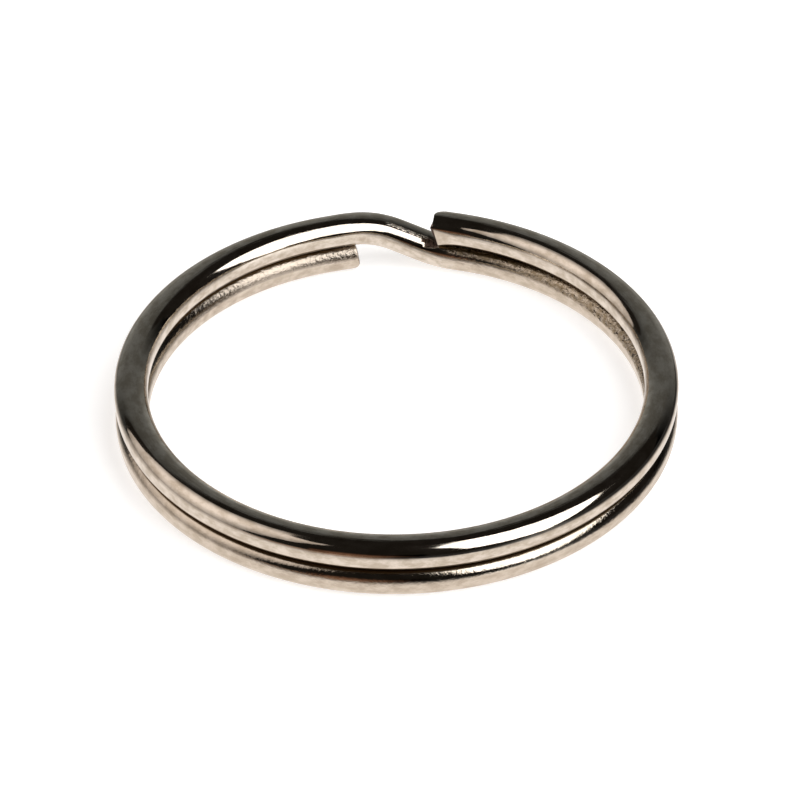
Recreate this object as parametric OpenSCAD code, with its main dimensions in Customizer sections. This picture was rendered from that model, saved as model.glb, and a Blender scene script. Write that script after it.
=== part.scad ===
// Split ring: one length of flattened spring wire, wound into two flat turns.
// A short crossover lifts the wire from the lower turn to the upper one, and
// both ends are sheared off beside it. Keys are worked in between the turns.
//
// Millimetres. The ring lies flat: +Z is up, the origin is at the middle of the
// ring on the surface it lies on, and the crossover's middle is at +Y. The wire
// climbs anticlockwise, seen from above.

/* [Ring] */
// Outside diameter of the ring
ring_od = 30; // [26:0.5:36]
// Clearance between the two turns when nothing is on the ring
turn_gap = 0.045; // [0.03:0.005:0.15]

/* [Wire] */
// Width of the flattened wire, measured across the ring
wire_w = 1.8; // [1.6:0.05:2.4]
// Thickness of the flattened wire, measured up the stack
wire_t = 1.58; // [1.4:0.02:1.76]
// Radius left on the wire's four corners
corner_r = 0.64; // [0.4:0.02:0.68]

/* [Crossover] */
// Length of the crossover in plan, from the lower turn's level to the upper's
crossover_run = 5.5; // [5:0.1:7]
// Centre-line radius of the two bends that lift and level the wire
rise_bend_r = 3.4; // [2:0.1:3.8]
// Centre-line radius of the two bends between the turns and the crossover
plan_bend_r = 2; // [1.5:0.1:5]

/* [Cut ends] */
// Distance that the lower turn's end stops short of the crossover
lower_end_clear = 0.35; // [0.1:0.05:1.5]
// Distance that the upper turn's end laps over the foot of the crossover
upper_end_lap = 1.5; // [0.5:0.1:1.8]
// Slant of the lower end's sheared face from upright, in degrees
lower_end_slant = 5; // [0:1:12]
// Slant of the upper end's sheared face from upright, in degrees
upper_end_slant = 14; // [0:1:18]
// Width of the nick that the shear leaves in the crossover at the upper end
nick_w = 0.2; // [0.1:0.05:0.4]

/* [Hidden] */
$fn = 96;

nickel = "#b9b4ab";

// Centre line of the two turns
turn_r = (ring_od - wire_w) / 2;
pitch = wire_t + turn_gap;
lower_z = wire_t / 2;
upper_z = lower_z + pitch;

// In plan, the crossover is a straight chord. Each plan bend rolls inside the
// turn's circle, so it turns by the angle at which it leaves that circle.
plan_bend_deg = asin(crossover_run / 2 / (turn_r - plan_bend_r));
crossover_y = plan_bend_r + (turn_r - plan_bend_r) * cos(plan_bend_deg);

// Seen from the ring's middle, the crossover is a straight ramp between two
// bends of rise_bend_r, and the ramp is tangent to both.
bend_span = pitch - 2 * rise_bend_r;
ramp_len = sqrt(pow(crossover_run, 2) + pow(bend_span, 2) - pow(2 * rise_bend_r, 2));
ramp_deg = atan2(bend_span, crossover_run) + atan2(2 * rise_bend_r, ramp_len);

// Where the sheared faces stand, as angles round the ring from the crossover
foot_deg = asin(crossover_run / 2 / crossover_y);
lower_end_deg = foot_deg + lower_end_clear / turn_r * 180 / PI;
upper_end_deg = foot_deg - upper_end_lap / turn_r * 180 / PI;
nick_deg = upper_end_deg - nick_w / turn_r * 180 / PI;

// The nick's floor lies in the gap, so the upper end clears the crossover
nick_floor_z = lower_z + wire_t / 2 + turn_gap / 5;

// Stretches of wire meet end to end. The next one inwards is finer by seat_step
// all round, and starts seat_len inside the face of the one before.
seat_step = 0.005;
seat_len = 0.05;

// Stock left beyond a sheared face before it is cut, and the cutter's width
shear_stock = 0.8;
shear_stock_deg = shear_stock / turn_r * 180 / PI;
cutter_w = 3 * wire_w;

// Section of the wire, centred on its centre line and finer by inset all round
module wire_section(inset = 0) {
    w = wire_w - 2 * inset;
    t = wire_t - 2 * inset;
    r = corner_r - inset;
    square([w, t - 2 * r], center = true);
    square([w - 2 * r, t], center = true);
    for (x = [-1, 1], y = [-1, 1])
        translate([x * (w / 2 - r), y * (t / 2 - r)])
            circle(r);
}

// A stretch of wire bent about the Z axis at radius r, from angle a round by sweep
module plan_arc(r, a, sweep, inset = 0) {
    rotate([0, 0, a])
        rotate_extrude(angle = sweep)
            translate([r, 0])
                wire_section(inset);
}

// What lies up to reach beyond the shear plane that stands at angle a round the
// ring, on side -1 or 1 of it in X. The plane leans by slant, its top towards -X.
module beyond_shear(a, z, slant, side, reach) {
    rotate([0, 0, a])
        translate([0, turn_r, z])
            rotate([0, -slant, 0])
                translate([side * reach / 2, 0, 0])
                    cube([reach, cutter_w, cutter_w], center = true);
}

module lower_turn() {
    difference() {
        translate([0, 0, lower_z])
            plan_arc(turn_r, 90 + lower_end_deg - shear_stock_deg,
                     360 - lower_end_deg - plan_bend_deg + shear_stock_deg);
        beyond_shear(lower_end_deg, lower_z, lower_end_slant, 1, 2 * shear_stock);
    }
}

module upper_turn() {
    difference() {
        translate([0, 0, upper_z])
            plan_arc(turn_r, 90 + plan_bend_deg,
                     360 - upper_end_deg - plan_bend_deg + shear_stock_deg);
        beyond_shear(-upper_end_deg, upper_z, upper_end_slant, -1, 2 * shear_stock);
    }
}

// The plan bend that leads from the lower turn to the crossover
module lead_bend() {
    seat_deg = seat_len / plan_bend_r * 180 / PI;
    translate([crossover_run / 2, crossover_y - plan_bend_r, 0])
        plan_arc(plan_bend_r, 90 - plan_bend_deg - seat_deg,
                 plan_bend_deg + seat_deg, seat_step);
}

// The bend that lifts the wire off the lower turn's level, towards -X
module rise_bend() {
    seat_deg = seat_len / rise_bend_r * 180 / PI;
    translate([crossover_run / 2, crossover_y, rise_bend_r])
        rotate([90, 0, 0])
            rotate([0, 0, -90 - ramp_deg])
                rotate_extrude(angle = ramp_deg + seat_deg)
                    translate([rise_bend_r, 0])
                        rotate([0, 0, 90])
                            wire_section(2 * seat_step);
}

// Half of the crossover, from the turn up to the ramp, at the lower turn's level
module half_crossover() {
    lead_bend();
    rise_bend();
}

// What the shear takes off the crossover beside and below the upper end
module shear_nick() {
    intersection() {
        beyond_shear(-nick_deg, upper_z, upper_end_slant, 1, crossover_run);
        translate([0, crossover_y, nick_floor_z + pitch])
            cube([2 * crossover_run, cutter_w, 2 * pitch], center = true);
    }
}

module crossover() {
    difference() {
        union() {
            translate([0, 0, lower_z])
                half_crossover();
            translate([0, 0, upper_z])
                rotate([0, 180, 0])
                    half_crossover();
            translate([0, crossover_y, lower_z + pitch / 2])
                rotate([0, 90 + ramp_deg, 0])
                    linear_extrude(ramp_len + 2 * seat_len, center = true)
                        rotate([0, 0, 90])
                            wire_section(3 * seat_step);
        }
        shear_nick();
    }
}

module split_ring() {
    color(nickel)
        union() {
            lower_turn();
            crossover();
            upper_turn();
        }
}

split_ring();
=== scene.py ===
from math import acos, asin, atan2, copysign, cos, hypot, pi, radians, sin, tan

import bmesh
import bpy
from mathutils import Matrix, Vector


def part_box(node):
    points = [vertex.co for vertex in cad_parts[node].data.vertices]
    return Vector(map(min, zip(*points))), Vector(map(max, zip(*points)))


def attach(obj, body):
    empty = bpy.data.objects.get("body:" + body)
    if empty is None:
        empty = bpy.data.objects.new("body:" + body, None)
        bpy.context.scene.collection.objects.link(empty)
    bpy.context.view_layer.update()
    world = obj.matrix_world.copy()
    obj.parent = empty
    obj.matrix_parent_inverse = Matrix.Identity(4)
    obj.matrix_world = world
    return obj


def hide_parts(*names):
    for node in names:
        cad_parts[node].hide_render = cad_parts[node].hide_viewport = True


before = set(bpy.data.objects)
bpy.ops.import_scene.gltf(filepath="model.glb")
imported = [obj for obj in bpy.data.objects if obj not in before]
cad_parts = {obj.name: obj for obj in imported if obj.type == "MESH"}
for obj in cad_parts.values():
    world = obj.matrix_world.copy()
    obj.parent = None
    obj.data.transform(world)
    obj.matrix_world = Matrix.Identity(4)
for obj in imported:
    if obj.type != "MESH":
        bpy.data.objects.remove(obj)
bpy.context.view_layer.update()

scene = bpy.context.scene


# ---- Wire ------------------------------------------------------------------
# The ring is one length of spring wire, drawn round and rolled flat, so its
# section is a rectangle with well-rounded corners. It is wound into two turns
# that lie on each other, with a stepped crossover that joins them at +Y.

MM = 0.001
WIRE_W = 1.8
WIRE_T = 1.58
CORNER_R = 0.64

ring_lo, ring_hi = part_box("split_ring")
TURN_R = (ring_hi.x - ring_lo.x) / MM / 2 - WIRE_W / 2
PITCH = (ring_hi.z - ring_lo.z) / MM - WIRE_T
LOWER_Z = WIRE_T / 2

# The flats of the section are crowned a little. They and the round corners are
# arcs that run into each other.
TOP_CROWN = radians(5)
SIDE_CROWN = radians(3)


def section(normal, corner_r=CORNER_R):
    """Where the wire's outline faces the direction normal, across and up."""
    top, side = tan(TOP_CROWN / 2), tan(SIDE_CROWN / 2)
    corner_x = (WIRE_W / 2 - corner_r - side * (WIRE_T / 2 - corner_r)) / (1 - top * side)
    corner_z = WIRE_T / 2 - corner_r - top * corner_x
    flank = abs(asin(sin(normal)))
    if flank > pi / 2 - TOP_CROWN:
        radius = corner_x / sin(TOP_CROWN) + corner_r
        x, z = radius * cos(flank), WIRE_T / 2 - radius * (1 - sin(flank))
    elif flank < SIDE_CROWN:
        radius = corner_z / sin(SIDE_CROWN) + corner_r
        x, z = WIRE_W / 2 - radius * (1 - cos(flank)), radius * sin(flank)
    else:
        x, z = corner_x + corner_r * cos(flank), corner_z + corner_r * sin(flank)
    return Vector((copysign(x, cos(normal)), 0, copysign(z, sin(normal))))


# Distances along the wire start at the crossover's middle and grow towards the
# upper turn. The wire lifts off the lower turn's level at the foot and is level
# again at the head, and it bulges out of the turns' circle on the way.
FOOT = -2.46
HEAD = 4.34
FOOT_R = 5.1
HEAD_R = 8.9
RISE_REACH = hypot(HEAD - FOOT, FOOT_R + HEAD_R - PITCH)
RAMP = (atan2(HEAD - FOOT, FOOT_R + HEAD_R - PITCH)
        - acos((FOOT_R + HEAD_R) / RISE_REACH))
BULGE = 0.2
BULGE_AT = 2.05
BULGE_HALF = 2.6

# The sheared ends stand a few degrees short of a full turn from the crossover's
# middle. The lower end's last stretch is straight, as the winding leaves it.
LOWER_END = radians(-360 + 13.2) * TURN_R
UPPER_END = radians(360 - 5.4) * TURN_R
STRAIGHT = 1.4
LOWER_SLANT = radians(5)
UPPER_SLANT = radians(14)


def height(at):
    """The wire's rise over the lower turn, and its slope, at a distance along it."""
    if at <= FOOT:
        return 0, 0
    if at >= HEAD:
        return PITCH, 0
    if at - FOOT < FOOT_R * sin(RAMP):
        slope = asin((at - FOOT) / FOOT_R)
        return FOOT_R * (1 - cos(slope)), slope
    if HEAD - at < HEAD_R * sin(RAMP):
        slope = asin((HEAD - at) / HEAD_R)
        return PITCH - HEAD_R * (1 - cos(slope)), slope
    return (FOOT_R * (1 - cos(RAMP))
            + (at - FOOT - FOOT_R * sin(RAMP)) * tan(RAMP)), RAMP


def wound(at):
    """The matrix that takes a section of straight wire to its place in the ring."""
    swell = pi * max(-1, min(1, (at - BULGE_AT) / BULGE_HALF))
    unbent = max(0, LOWER_END + STRAIGHT - at)
    radius = TURN_R + BULGE * (1 + cos(swell)) / 2 + unbent ** 2 / (2 * TURN_R)
    lean = atan2(-BULGE * pi / BULGE_HALF * sin(swell) / 2 - unbent / TURN_R,
                 radius / TURN_R)
    rise, slope = height(at)
    return (Matrix.Rotation(at / TURN_R + pi / 2, 4, "Z")
            @ Matrix.Translation((radius, 0, LOWER_Z + rise))
            @ Matrix.Rotation(-lean, 4, "Z") @ Matrix.Rotation(slope, 4, "X"))


# Stations for the wire's cross-sections: close together where it is worked
WORKED_END = 2
WORKED_CROSSOVER = 5
CLOSE_STEP = 0.06
PLAIN_STEP = 0.24
LEAST_STEP = 0.01
stations = [LOWER_END]
while stations[-1] < UPPER_END - LEAST_STEP:
    here = stations[-1]
    worked = (min(here - LOWER_END, UPPER_END - here) < WORKED_END
              or abs(here) < WORKED_CROSSOVER)
    stations.append(min(here + (CLOSE_STEP if worked else PLAIN_STEP), UPPER_END))

# A straight bar of wire along Y, with one cross-section for each station
bm = bmesh.new()
facing = bm.verts.layers.float.new("facing")
blank = bmesh.ops.create_circle(bm, cap_ends=True, segments=64, radius=1)["verts"]
for vert in blank:
    vert[facing] = atan2(vert.co.y, vert.co.x)
    vert.co = section(vert[facing])
drawn = bmesh.ops.extrude_face_region(bm, geom=bm.faces[:])
bmesh.ops.translate(bm, vec=(0, len(stations) - 1, 0),
                    verts=[g for g in drawn["geom"] if isinstance(g, bmesh.types.BMVert)])
lengthwise = [e for e in bm.edges if e.verts[0].co.y != e.verts[1].co.y]
bmesh.ops.subdivide_edges(bm, edges=lengthwise, cuts=len(stations) - 2,
                          use_grid_fill=True)
for vert in bm.verts:
    vert.co.y = stations[round(vert.co.y)]

# The bar's own coordinates stay on it, for marks that follow the wire
follow = bm.verts.layers.float_vector.new("along_wire")
for vert in bm.verts:
    vert[follow] = vert.co


def drawn_in(distance, radius):
    """How far a corner rounded at radius lies inside it, at a distance from its end."""
    left = radius - min(radius, max(0, distance))
    return radius - (radius ** 2 - left ** 2) ** 0.5


# The shear rounds the upper end's outer edge, and squeezes its inner corners
# sharp and draws a burr off one of them. The lower end's bottom edge is rounded.
SQUEEZE = 1.5
SHARP_R = 0.3
UPPER_EDGE_R = 0.5
LOWER_EDGE_R = 0.1
LOWER_UNDER_R = 0.3
BURR = 0.22
BURR_FACING = radians(149)
BURR_HALF = radians(14)
AT_FACE = 0.01
for vert in bm.verts:
    x, at, z = vert.co
    from_upper = UPPER_END - at
    from_lower = at - LOWER_END
    squeezed = max(0, 1 - from_upper / SQUEEZE) ** 2
    if x < 0 and squeezed > 0:
        sharp = section(vert[facing], SHARP_R)
        vert.co.x += (sharp.x - x) * squeezed
        vert.co.z += (sharp.z - z) * squeezed
    if x > 0:
        vert.co.x *= 1 - drawn_in(from_upper, UPPER_EDGE_R) / (WIRE_W / 2)
    if x > 0 or z > 0:
        vert.co.x *= 1 - drawn_in(from_lower, LOWER_EDGE_R) / (WIRE_W / 2)
        vert.co.z *= 1 - drawn_in(from_lower, LOWER_EDGE_R) / (WIRE_T / 2)
    if z < 0:
        vert.co.z *= 1 - drawn_in(from_lower, LOWER_UNDER_R) / (WIRE_T / 2)
    if from_upper < AT_FACE:
        vert.co.y += BURR * max(0, 1 - abs(vert[facing] - BURR_FACING) / BURR_HALF)

# Both ends are sheared at a slant
SLANT_LENGTH = 1.5
for vert in bm.verts:
    for stop, slant in ((LOWER_END, LOWER_SLANT), (UPPER_END, UPPER_SLANT)):
        fade = max(0, 1 - abs(vert.co.y - stop) / SLANT_LENGTH)
        vert.co.y += vert.co.z * tan(slant) * fade

# The shear has also nicked the crossover's inner shoulder, beside the upper end
NICK_FROM = -1.35
NICK_TO = -0.5
NICK_FACING = Vector((-0.47, 0.1, 0.88))
NICK_REACH = 0.75
for vert in bm.verts:
    proud = vert.co.dot(NICK_FACING) - NICK_REACH
    if NICK_FROM < vert.co.y < NICK_TO and proud > 0:
        vert.co -= NICK_FACING * proud

# Winding has drawn the top down inwards of a soft ridge, most of all just after
# the crossover and a little near the upper end
LEAN = 0.08
LEAN_RIDGE = 0.15
LEAN_SOFT = 0.08
LEAN_WIDTH = 0.6
LEAN_FROM, LEAN_FULL, LEAN_EASES, LEAN_TO = -1.4, 0, 9, 16
LATE_LEAN = 0.4
LATE_FROM, LATE_FULL = UPPER_END - 14, UPPER_END - 7


def eased(at, start, stop):
    """0 to 1, softly, as the distance along the wire goes from start to stop."""
    share = max(0, min(1, (at - start) / (stop - start)))
    return share * share * (3 - 2 * share)


for vert in bm.verts:
    x, at, z = vert.co
    leaning = (eased(at, LEAN_FROM, LEAN_FULL) * eased(at, LEAN_TO, LEAN_EASES)
               + LATE_LEAN * eased(at, LATE_FROM, LATE_FULL))
    inwards = min(max(0, LEAN_RIDGE - x), LEAN_WIDTH)
    if z > 0:
        lower = LEAN * leaning * inwards ** 2 / (inwards + LEAN_SOFT)
        vert.co.z -= lower * z / (WIRE_T / 2)

# Wind it. The upper end stands off the lower turn by a hair, and the shear has
# rolled it inwards.
LIFT = 0.08
LIFT_LENGTH = 12
ROLL_IN = radians(3)
ROLL_LENGTH = 3.5
CREASE = radians(35)
for vert in bm.verts:
    x, at, z = vert.co
    lifted = LIFT * max(0, 1 - (UPPER_END - at) / LIFT_LENGTH) ** 2
    rolled = ROLL_IN * max(0, 1 - (UPPER_END - at) / ROLL_LENGTH) ** 2
    vert.co = wound(at) @ Vector((x - z * rolled, 0, z + x * rolled + lifted))

# The two sheared faces are filled with triangles, which give the burr its root.
# All faces point outwards, as a volume above zero shows.
bmesh.ops.recalc_face_normals(bm, faces=bm.faces)
bmesh.ops.triangulate(bm, faces=[f for f in bm.faces if len(f.verts) > 4],
                      ngon_method="EAR_CLIP")
if bm.calc_volume(signed=True) < 0:
    bmesh.ops.reverse_faces(bm, faces=bm.faces)
for face in bm.faces:
    face.smooth = True
for edge in bm.edges:
    edge.smooth = edge.calc_face_angle(0) < CREASE
bmesh.ops.scale(bm, vec=(MM, MM, MM), verts=bm.verts)


def placed(bm, name):
    """An object in the scene, from a finished bmesh."""
    mesh = bpy.data.meshes.new(name)
    bm.to_mesh(mesh)
    bm.free()
    made = bpy.data.objects.new(name, mesh)
    scene.collection.objects.link(made)
    return made


wire = placed(bm, "wound_wire")
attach(wire, "root")
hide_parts("split_ring")


def linear(hex_colour):
    """An sRGB hex colour as linear RGBA."""
    parts = [int(hex_colour[i:i + 2], 16) / 255 for i in (1, 3, 5)]
    return (*[p / 12.92 if p <= 0.04045 else ((p + 0.055) / 1.055) ** 2.4
              for p in parts], 1)


def emptied(owner):
    """The emptied node tree of a material or of the world."""
    owner.use_nodes = True
    owner.node_tree.nodes.clear()
    return owner.node_tree


def add(tree, kind, sockets=None, **settings):
    """Adds a node with its settings, and links or sets its sockets."""
    node = tree.nodes.new(kind)
    for name, value in settings.items():
        setattr(node, name, value)
    for name, source in (sockets or {}).items():
        if isinstance(source, bpy.types.NodeSocket):
            tree.links.new(source, node.inputs[name])
        else:
            node.inputs[name].default_value = source
    return node


def where(tree, *parts):
    """Where all the parts hold: a mask, multiplied from other masks and from
    (source, start, stop), which goes smoothly from 0 at start to 1 at stop."""
    mask = None
    for part in parts:
        if isinstance(part, tuple):
            source, start, stop = part
            part = add(tree, "ShaderNodeMapRange",
                       {"Value": source, "From Min": start, "From Max": stop},
                       interpolation_type="SMOOTHSTEP").outputs[0]
        mask = part if mask is None else add(
            tree, "ShaderNodeMath", {0: mask, 1: part}, operation="MULTIPLY").outputs[0]
    return mask


def marks(tree, bar, pull, per_mm, start, stop):
    """Patches of noise, so many to a millimetre, pulled out along the wire. The
    higher start and stop are, the fewer of them show."""
    stretched = add(tree, "ShaderNodeMapping", {"Vector": bar, "Scale": (1, 1 / pull, 1)})
    noise = add(tree, "ShaderNodeTexNoise", {
        "Vector": stretched.outputs[0], "Scale": per_mm, "Detail": 3.0, "Roughness": 0.6})
    return where(tree, (noise.outputs[0], start, stop))


# Bright nickel over polished steel wire: a warm grey mirror. The rolling leaves
# long faint lines that follow the wire, and the plating softens small marks.
nickel = bpy.data.materials.new("bright_nickel_plate")
tree = emptied(nickel)
bar = add(tree, "ShaderNodeAttribute", attribute_name="along_wire").outputs["Vector"]

# Places on the wire in millimetres: across it, along it and up
across, at, up = add(tree, "ShaderNodeSeparateXYZ", {"Vector": bar}).outputs
on_lower = where(tree, (at, FOOT + 1, FOOT - 0.4))
on_upper = where(tree, (at, HEAD - 1.5, HEAD + 0.5))
inner = where(tree, (across, 0.1, -0.1))

# Where the turns lie on each other little light gets in: the colour there is painted
# darker as shade, and the plating is dull
brow = add(tree, "ShaderNodeMath", {0: inner, 1: -0.13, 2: up}, operation="MULTIPLY_ADD")
above = where(tree, on_lower, (brow.outputs[0], 0.65, 0.7))
below = where(tree, on_upper, (up, -0.39, -0.45))
painted_crevice_shade = add(tree, "ShaderNodeMath", {0: above, 1: below}, operation="MAXIMUM").outputs[0]

# Rings pushed on between the turns have rubbed the lower turn's inner shoulder,
# most of all beside the foot of the crossover
near_foot = add(tree, "ShaderNodeMapRange", {
    "Value": at, "From Min": -40, "From Max": -22, "To Min": 0.12}).outputs[0]
worn_up = add(tree, "ShaderNodeMath", {0: where(tree, (at, -13, -4)), 1: -0.3, 2: up},
              operation="MULTIPLY_ADD").outputs[0]
rubbed = where(tree, (at, -1.2, -2.4), (worn_up, 0.12, 0.26), inner, near_foot)
mottle = where(tree, rubbed, marks(tree, bar, 2.0, 6.0, 0.35, 0.65))
pits = where(tree, rubbed, marks(tree, bar, 2.2, 6.5, 0.56, 0.64))
scored = where(tree, rubbed, (at, -11, -5), marks(tree, bar, 40.0, 3.5, 0.5, 0.62))

# The same shoulder near the lower end is only scuffed, with a few nicks across it
scuffed = where(tree, (at, LOWER_END + 15, LOWER_END + 8), inner, (up, 0.1, 0.2))
nicks = where(tree, scuffed, marks(tree, bar, 0.25, 2.6, 0.67, 0.72))

# Bare torn metal where the shear nicked the crossover
cut = add(tree, "ShaderNodeVectorMath", {0: bar, 1: NICK_FACING}, operation="DOT_PRODUCT")
torn = where(tree, (at, NICK_TO + 0.04, NICK_TO - 0.04),
             (at, NICK_FROM - 0.15, NICK_FROM - 0.05),
             (cut.outputs["Value"], NICK_REACH - 0.01, NICK_REACH + 0.01))
torn_deep = where(tree, torn, marks(tree, bar, 0.7, 5.0, 0.45, 0.6))

# The two sheared faces are bare and rough as well
sheared = add(tree, "ShaderNodeMath", {
    0: where(tree, (at, UPPER_END - 0.03, UPPER_END - 0.005)),
    1: where(tree, (at, LOWER_END + 0.03, LOWER_END + 0.005))},
              operation="MAXIMUM").outputs[0]

# The shear chattered along the crossover's inner edge up to the nick
chatter = where(tree, (at, NICK_TO - 0.1, NICK_TO), (at, 1.9, 1.5),
                (across, -0.16, -0.22), (across, -0.4, -0.34))

# Each mark or painted shade lies over the ones before it: where, how strongly, in which
# colour
colour = linear("#e6dccf")
for mask, share, over in (
        # The lower turn is tinted a little darker as painted shade, for the shaded table
        # close under it that it mirrors
        (on_lower, 1, "#dacebf"),
        (marks(tree, bar, 2.0, 2.2, 0.3, 0.7), 0.8, "#b9ac9a"),
        (mottle, 1, "#ab9a80"), (pits, 1, "#352b20"), (scored, 1, "#54462f"),
        # On this line the crevice mask paints shade between the turns
        (scuffed, 0.85, "#ab9f92"), (nicks, 1, "#5a4e42"), (painted_crevice_shade, 1, "#6a573f"),
        (torn, 1, "#7d695d"), (torn_deep, 1, "#3f342c"), (sheared, 1, "#62524a")):
    strength = add(tree, "ShaderNodeMath", {0: mask, 1: share}, operation="MULTIPLY")
    colour = add(tree, "ShaderNodeMix", {
        "Factor": strength.outputs[0], "A": colour, "B": linear(over)},
                 data_type="RGBA").outputs["Result"]

# The marks are rougher than the bright plate
rough = 0.07
for mask, more in ((rubbed, 0.12), (mottle, 0.2), (painted_crevice_shade, 0.3), (torn, 0.4),
                   (sheared, 0.3)):
    rough = add(tree, "ShaderNodeMath", {0: mask, 1: more, 2: rough},
                operation="MULTIPLY_ADD").outputs[0]

# How deep they go, in millimetres. The rolling lines are drawn coarser than they
# are, so that they show.
lines = marks(tree, bar, 30.0, 9.0, 0.2, 0.8)
grain = add(tree, "ShaderNodeMath", {0: marks(tree, bar, 1.5, 7.0, 0.1, 0.9), 1: 0.5},
            operation="SUBTRACT").outputs[0]
teeth = add(tree, "ShaderNodeMath", {0: marks(tree, bar, 0.8, 7.0, 0.38, 0.62), 1: 0.5},
            operation="SUBTRACT").outputs[0]
deep = 0
for shape, depth in (
        (lines, 0.0015), (where(tree, on_lower, grain), 0.007),
        (where(tree, rubbed, grain), 0.025), (where(tree, scuffed, grain), 0.01),
        (where(tree, chatter, teeth), 0.018), (where(tree, torn, teeth), 0.05)):
    deep = add(tree, "ShaderNodeMath", {0: shape, 1: depth, 2: deep},
               operation="MULTIPLY_ADD").outputs[0]
dents = add(tree, "ShaderNodeBump", {"Height": deep, "Distance": MM}, invert=True)

plate = add(tree, "ShaderNodeBsdfPrincipled", {
    "Base Color": colour, "Roughness": rough, "Normal": dents.outputs[0], "Metallic": 1.0})
add(tree, "ShaderNodeOutputMaterial", {"Surface": plate.outputs[0]})
wire.data.materials.append(nickel)


# ---- Table and lights ------------------------------------------------------
# Stage, not part of the ring: a white table, a softbox on the right, a pale
# reflector on the left, a grey backdrop behind and a low brown card in front.
# Most light is the cards', with a faint room and the table's painted glows, and the eye
# doesn't see the cards.

VIEW_TURN = radians(4.3)
CARD_DISTANCE = 1.5


def toward(azimuth, elevation, distance):
    """A place seen from the ring; azimuth 0 is straight away from the camera."""
    a, e = radians(azimuth) - VIEW_TURN, radians(elevation)
    return distance * Vector((sin(a) * cos(e), cos(a) * cos(e), sin(e)))


def card(name, corners, colour, strength, centre, reach, wide=1):
    """A card with its corners and centre seen from the ring, in degrees. It glows
    round the centre and fades between the two angles of reach, wide times as
    far sideways."""
    bm = bmesh.new()
    for azimuth, elevation in corners:
        bm.verts.new(toward(azimuth, elevation, CARD_DISTANCE))
    bmesh.ops.contextual_create(bm, geom=bm.verts)
    bmesh.ops.triangulate(bm, faces=bm.faces)
    made = placed(bm, name)
    made.visible_camera = False
    glow = bpy.data.materials.new(name + "_glow")
    tree = emptied(glow)
    here = add(tree, "ShaderNodeTexCoord").outputs["Object"]
    way = add(tree, "ShaderNodeVectorMath", {0: here}, operation="NORMALIZE")
    narrowed = add(tree, "ShaderNodeVectorMath", {
        0: way.outputs[0], 1: (1 / wide, 1 / wide, 1)}, operation="MULTIPLY")
    heart = toward(*centre, 1)
    off = add(tree, "ShaderNodeVectorMath", {
        0: narrowed.outputs[0], 1: (heart.x / wide, heart.y / wide, heart.z)},
              operation="DISTANCE")
    full, nothing = [2 * sin(radians(angle) / 2) for angle in reach]
    fade = add(tree, "ShaderNodeMapRange", {
        "Value": off.outputs["Value"], "From Min": full, "From Max": nothing,
        "To Min": strength, "To Max": 0.0}, interpolation_type="SMOOTHSTEP")
    light = add(tree, "ShaderNodeEmission", {
        "Color": linear(colour), "Strength": fade.outputs[0]})
    add(tree, "ShaderNodeOutputMaterial", {"Surface": light.outputs[0]})
    made.data.materials.append(glow)


card("softbox", [(125, 1), (154.5, 25), (155.5, 68), (20, 71), (40, 68), (61, 63),
                 (70, 55), (78, 46), (92, 36), (103, 25), (113, 13)],
     "#ffffff", 2.6, (125, 40), (60, 140))
card("reflector_card", [(-119, -3), (-128, 16), (-137, 35), (-142, 56), (-134, 68),
                        (-100, 70), (-42, 70), (-27, 66), (-13, 58), (-22, 50),
                        (-38, 46), (-50, 38), (-55, 22), (-58, 8), (-62, -3)],
     "#fff5ee", 1.07, (-88, 46), (11, 120), 0.57)
card("backdrop", [(-70, -5), (-58, 8), (-50, 18), (-42, 30), (-30, 40), (-14, 45),
                  (-4, 41), (30, 40), (52, 34), (64, 16), (74, -5)],
     "#f6faf8", 0.36, (0, -6), (10, 68))
card("camera_side", [(170, -6), (170, 20), (-148, 20), (-148, -6)],
     "#96705a", 0.75, (-163, 0), (2, 27))

TABLE_HALF = 3
NEAR_PAINT = 0.2
ROOM_WHITE = 0.55
bm = bmesh.new()
bmesh.ops.create_grid(bm, x_segments=1, y_segments=1, size=TABLE_HALF)
table = placed(bm, "table")

white_table = bpy.data.materials.new("white_table")
tree = emptied(white_table)
path = add(tree, "ShaderNodeLightPath")
place = add(tree, "ShaderNodeTexCoord").outputs["Object"]
spot = add(tree, "ShaderNodeSeparateXYZ", {"Vector": place})
right, back = spot.outputs["X"], spot.outputs["Y"]

# The eye sees a matt white that takes the ring's shadow, plus a painted glow that grows
# brighter further off, where the cards light it less, so that it runs into the white of
# the room
off = add(tree, "ShaderNodeVectorMath", {0: place}, operation="LENGTH")
paint = add(tree, "ShaderNodeMix", {
    "Factor": where(tree, (off.outputs["Value"], NEAR_PAINT, ROOM_WHITE)),
    "A": linear("#cdcdcd"), "B": linear("#ffffff")}, data_type="RGBA")
glow = add(tree, "ShaderNodeEmission", {
    "Color": paint.outputs["Result"], "Strength": path.outputs["Is Camera Ray"]})
matt = add(tree, "ShaderNodeBsdfDiffuse", {"Color": linear("#f4f4f4")})
seen = add(tree, "ShaderNodeAddShader", {0: matt.outputs[0], 1: glow.outputs[0]})

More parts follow.
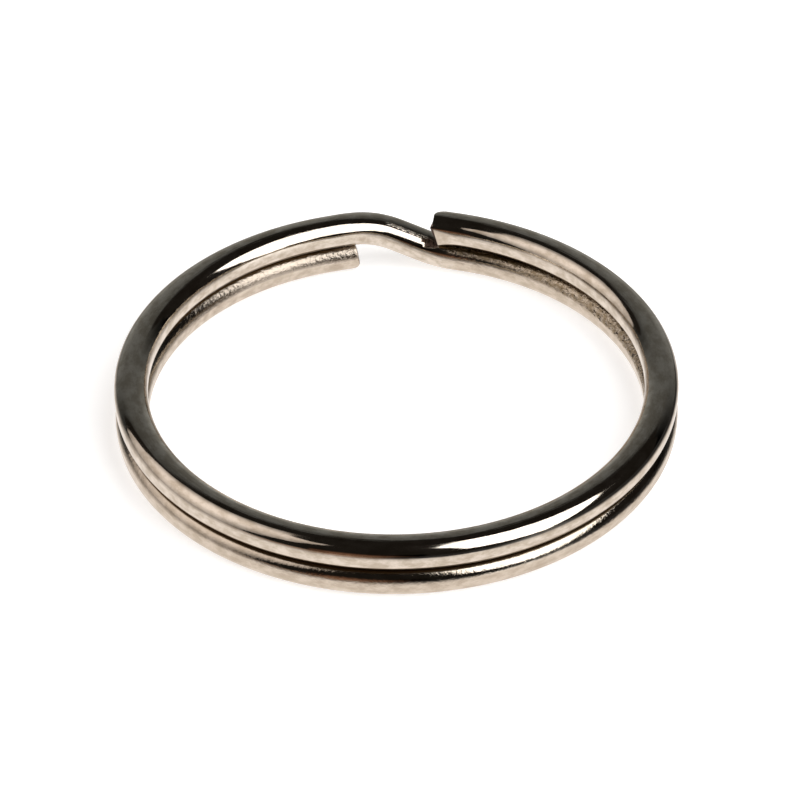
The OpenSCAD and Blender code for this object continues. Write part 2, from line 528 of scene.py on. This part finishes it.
# In the ring's plating the table shows painted light: a bright glow seen from above and a
# dim sheen and glow at a slant, painted dimmer on the right, under the softbox, and a warm
# brown glow in front on the left
bright = add(tree, "ShaderNodeEmission", {"Color": linear("#fff9f5"), "Strength": 1.03})
slanting = add(tree, "ShaderNodeMath", {0: back, 1: -0.5, 2: right},
               operation="MULTIPLY_ADD")
under_box = where(tree, (slanting.outputs[0], 15 * MM, 19.5 * MM))
sheen_colour = add(tree, "ShaderNodeMix", {
    "Factor": under_box, "A": linear("#d0d0d0"), "B": linear("#404040")},
             data_type="RGBA")
sheen = add(tree, "ShaderNodeBsdfGlossy", {
    "Color": sheen_colour.outputs["Result"], "Roughness": 0.2})
warm = where(tree, (back, -14 * MM, -26 * MM), (right, 4 * MM, -8 * MM),
             (right, -28 * MM, -18 * MM))
depth = add(tree, "ShaderNodeMix", {
    "Factor": warm, "A": linear("#303030"), "B": linear("#846a58")}, data_type="RGBA")
dim = add(tree, "ShaderNodeEmission", {"Color": depth.outputs["Result"]})
slant = add(tree, "ShaderNodeAddShader", {0: sheen.outputs[0], 1: dim.outputs[0]})
facing = add(tree, "ShaderNodeLayerWeight").outputs["Facing"]
last = add(tree, "ShaderNodeMath", {0: under_box, 1: -0.22, 2: 0.93},
           operation="MULTIPLY_ADD")
fall = add(tree, "ShaderNodeMapRange", {
    "Value": facing, "From Min": 0.42, "From Max": last.outputs[0],
    "To Min": 1.0, "To Max": 0.0})
steep = add(tree, "ShaderNodeMath", {0: fall.outputs[0], 1: 1.4}, operation="POWER")
mirrored = add(tree, "ShaderNodeMixShader", {
    "Fac": steep.outputs[0], 1: slant.outputs[0], 2: bright.outputs[0]})
top = add(tree, "ShaderNodeMixShader", {
    "Fac": path.outputs["Is Glossy Ray"], 1: seen.outputs[0], 2: mirrored.outputs[0]})
add(tree, "ShaderNodeOutputMaterial", {"Surface": top.outputs[0]})
table.data.materials.append(white_table)

# A white room to the eye, and a dark one to the ring, so that the cards light it
world = bpy.data.worlds.new("studio")
scene.world = world
tree = emptied(world)
path = add(tree, "ShaderNodeLightPath")
dark = add(tree, "ShaderNodeBackground", {"Color": linear("#fff0e0"), "Strength": 0.013})
white = add(tree, "ShaderNodeBackground", {"Color": linear("#ffffff"), "Strength": 1.0})
room = add(tree, "ShaderNodeMixShader", {
    "Fac": path.outputs["Is Camera Ray"], 1: dark.outputs[0], 2: white.outputs[0]})
add(tree, "ShaderNodeOutputWorld", {"Surface": room.outputs[0]})


# ---- Camera ----------------------------------------------------------------
# A long lens, looking down on the ring from in front, with the crossover at the
# back and a little to the right.

scene.view_settings.view_transform = "Standard"
eye = bpy.data.cameras.new("eye")
eye.lens = 219.6
eye.sensor_width = 36
camera = bpy.data.objects.new("eye", eye)
scene.collection.objects.link(camera)
RISE = radians(38)
ROLL = radians(0.615)
DISTANCE = 0.260
middle = (ring_lo.z + ring_hi.z) / 2

# The view's middle lies a little off the ring's, in shares of the ring's radius
SHIFT_RIGHT = 0.0128
SHIFT_DOWN = 0.0201
ring_r = (ring_hi.x - ring_lo.x) / 2
camera.matrix_world = (
    Matrix.Rotation(VIEW_TURN, 4, "Z")
    @ Matrix.Translation((0, 0, middle))
    @ Matrix.Rotation(pi / 2 - RISE, 4, "X")
    @ Matrix.Rotation(-ROLL, 4, "Z")
    @ Matrix.Translation((SHIFT_RIGHT * ring_r, -SHIFT_DOWN * ring_r, DISTANCE)))
scene.camera = camera
